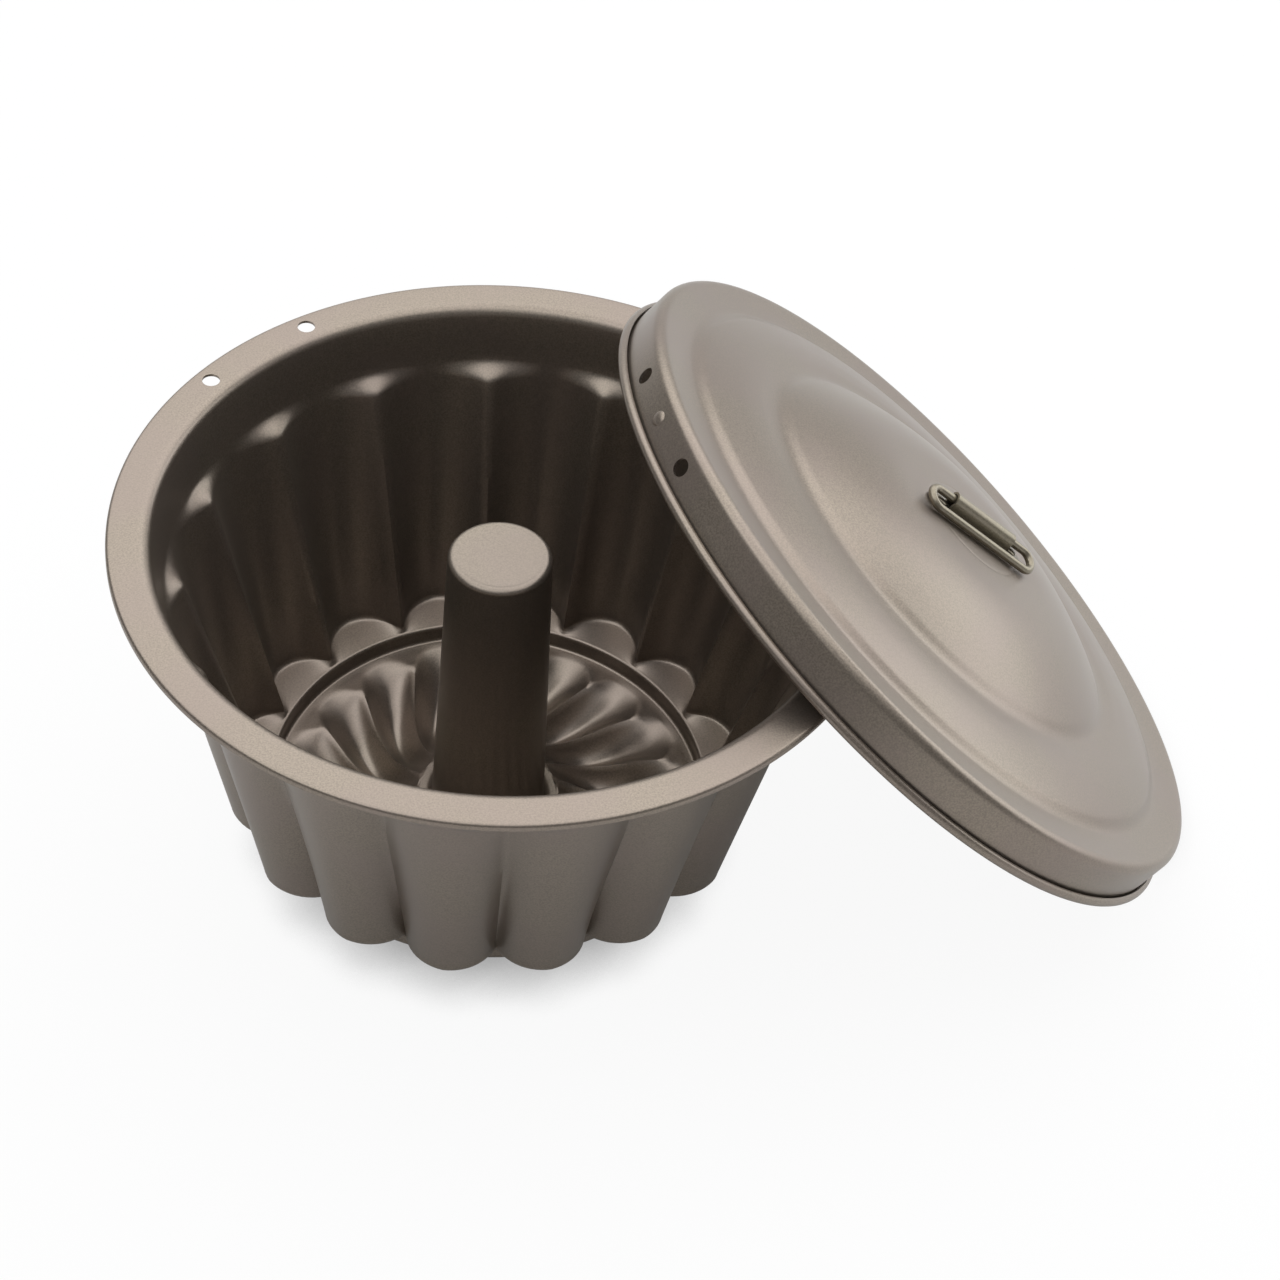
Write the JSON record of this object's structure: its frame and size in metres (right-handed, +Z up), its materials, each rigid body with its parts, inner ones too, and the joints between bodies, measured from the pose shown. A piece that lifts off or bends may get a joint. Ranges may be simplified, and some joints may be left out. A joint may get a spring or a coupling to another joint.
{
  "type": "steamed pudding mould",
  "caption": "Fluted steamed pudding mould with a swirled floor, a closed centre tube and a loose domed lid with a folding wire handle, which leans on the rim.",
  "frame": {"origin": "centre of the bounding box, on the floor that the mould stands on", "axes": "+X from the basin towards the leaning lid, +Z up"},
  "size_m": [0.2762, 0.195, 0.1373],
  "materials": {
    "coated_basin": "satin warm grey non-stick coat with a fine metallic sparkle, on pressed steel",
    "coated_tube": "satin warm grey non-stick coat, on drawn steel",
    "coated_lid": "satin warm grey non-stick coat with a fine metallic sparkle, on pressed steel",
    "coated_fittings": "satin warm grey coat over a steel clip and its rivets",
    "coated_wire": "satin warm grey coat over round steel wire"
  },
  "bodies": {
    "basin": {"basin": "coated_basin", "centre_tube": "coated_tube"},
    "lid": {"lid": "coated_lid", "handle_clip": "coated_fittings", "handle_rivet_upper": "coated_fittings", "handle_rivet_lower": "coated_fittings"},
    "handle": {"handle_bail": "coated_wire"}
  },
  "joints": [
    {"name": "lid_lift", "type": "slide", "parent": "basin", "child": "lid", "axis": [0.6674, 0, 0.7447], "range_m": [0, 0.2]},
    {"name": "handle_swing", "type": "hinge", "parent": "lid", "child": "handle", "pos_m": [0.07981, 0, 0.08774], "axis": [-0.7378, 0.1357, 0.6613], "range_deg": [0, 216]}
  ]
}
